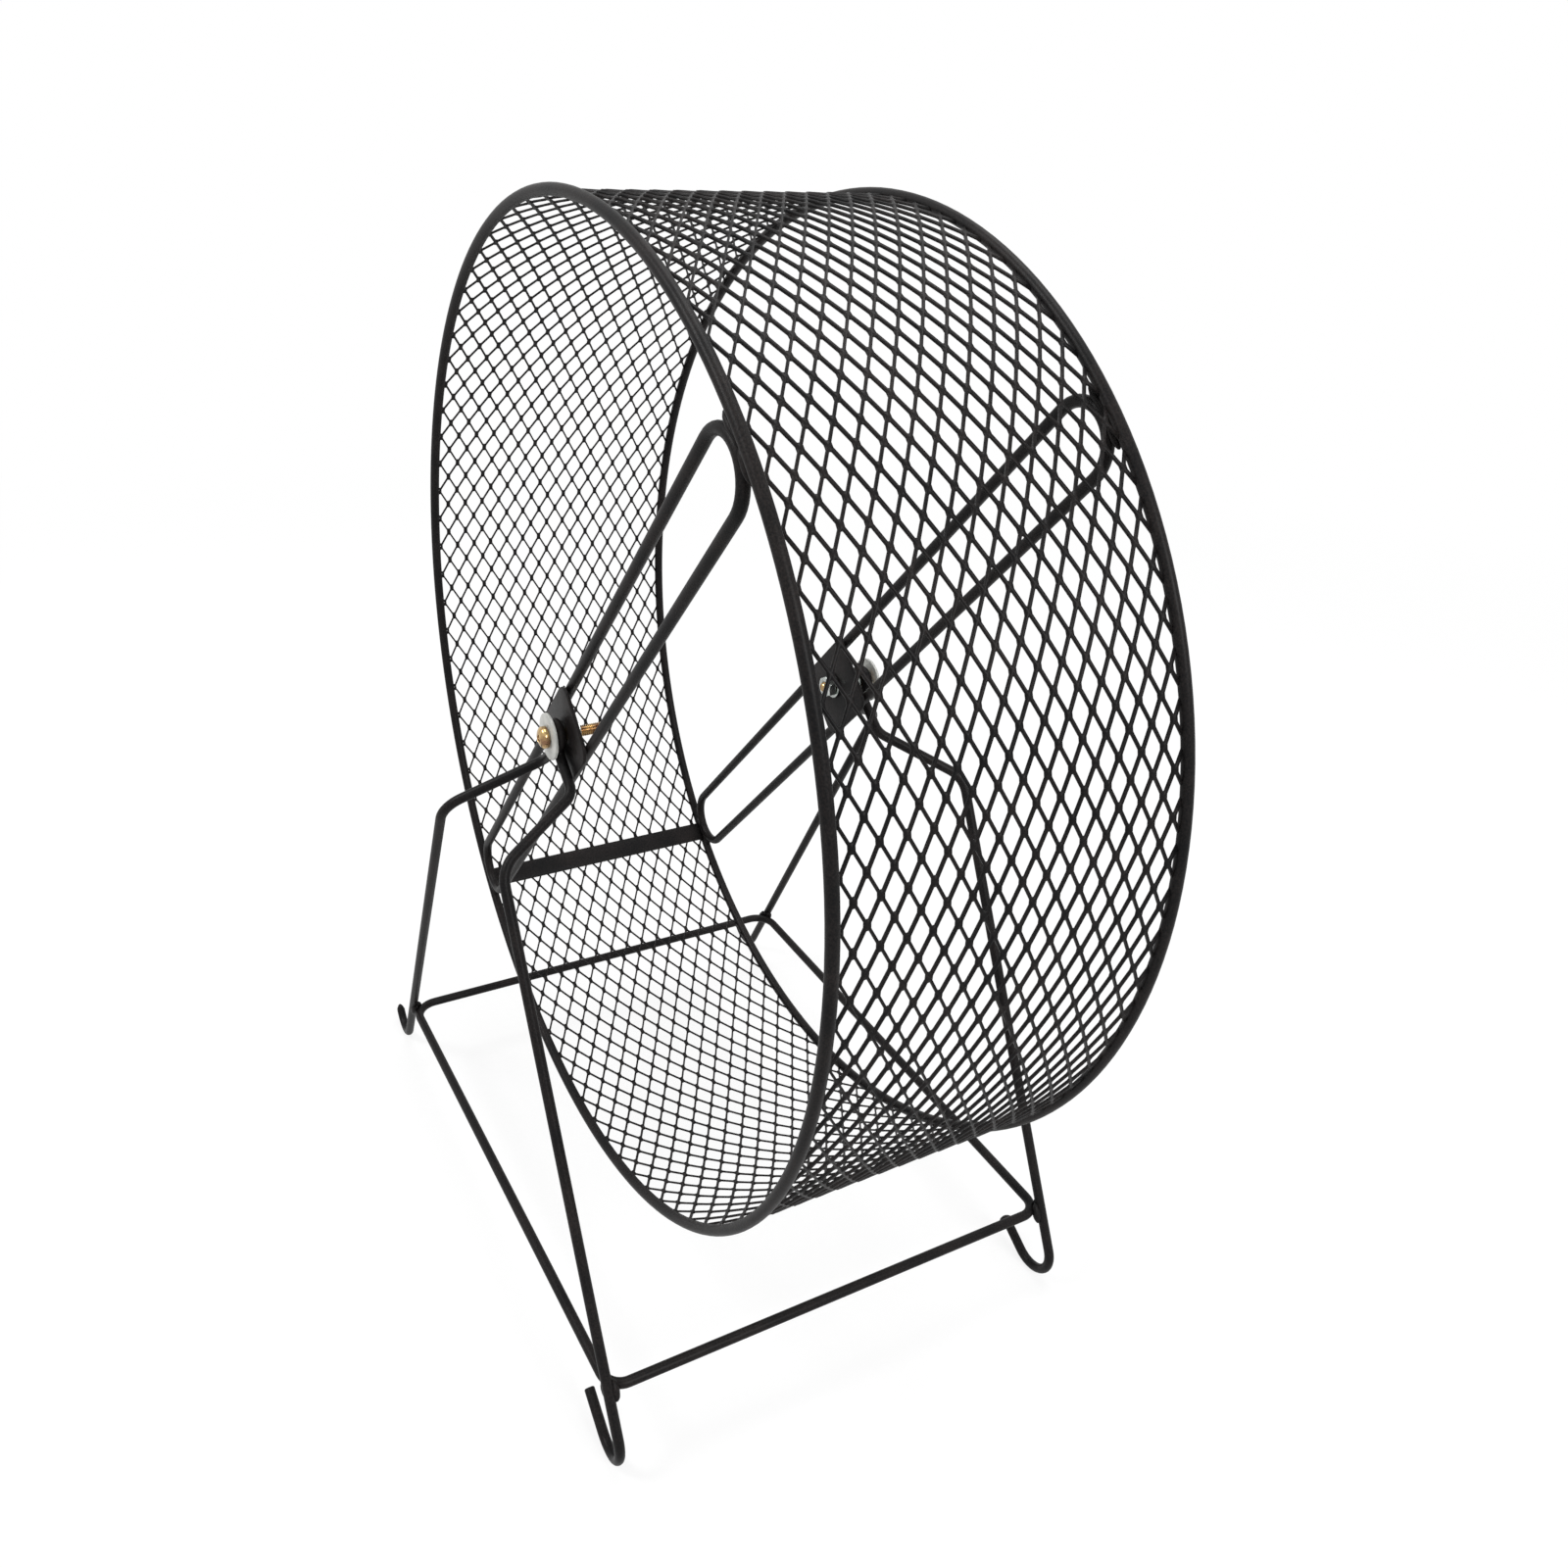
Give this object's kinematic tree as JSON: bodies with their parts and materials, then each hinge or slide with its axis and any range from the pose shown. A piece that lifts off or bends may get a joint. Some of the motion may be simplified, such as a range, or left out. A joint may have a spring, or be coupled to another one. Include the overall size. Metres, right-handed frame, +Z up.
{
  "type": "hamster exercise wheel",
  "caption": "Open wire and expanded mesh running wheel for a small pet, turning freely on two screws in a bent wire stand with hooked feet.",
  "frame": {"origin": "on the floor, under the middle of the wheel", "axes": "+Z up, Y along the axle with the front of the wheel at -Y, X across the stand"},
  "size_m": [0.26, 0.1466, 0.292],
  "materials": {
    "black_coat": "satin black powder coat",
    "yellow_zinc": "yellow zinc plated",
    "silver_zinc": "bright zinc plated",
    "nylon": "off-white nylon"
  },
  "bodies": {
    "stand": {"front_side_wire": "black_coat", "rear_side_wire": "black_coat", "base_ring": "black_coat", "front_outer_washer": "nylon", "rear_outer_washer": "nylon"},
    "wheel": {"front_rim": "black_coat", "rear_rim": "black_coat", "mesh_band": "black_coat", "seam_strip": "black_coat", "front_spoke_loop": "black_coat", "rear_spoke_loop": "black_coat", "front_hub_plate": "black_coat", "rear_hub_plate": "black_coat", "front_axle_screw": "yellow_zinc", "rear_axle_screw": "yellow_zinc", "front_nut": "silver_zinc", "rear_nut": "silver_zinc", "front_nut_washer": "silver_zinc", "rear_nut_washer": "silver_zinc", "rear_spacer": "silver_zinc"}
  },
  "joints": [
    {"name": "wheel_spin", "type": "hinge", "parent": "stand", "child": "wheel", "pos_m": [0, 0, 0.162], "axis": [0, 1, 0], "continuous": true}
  ]
}
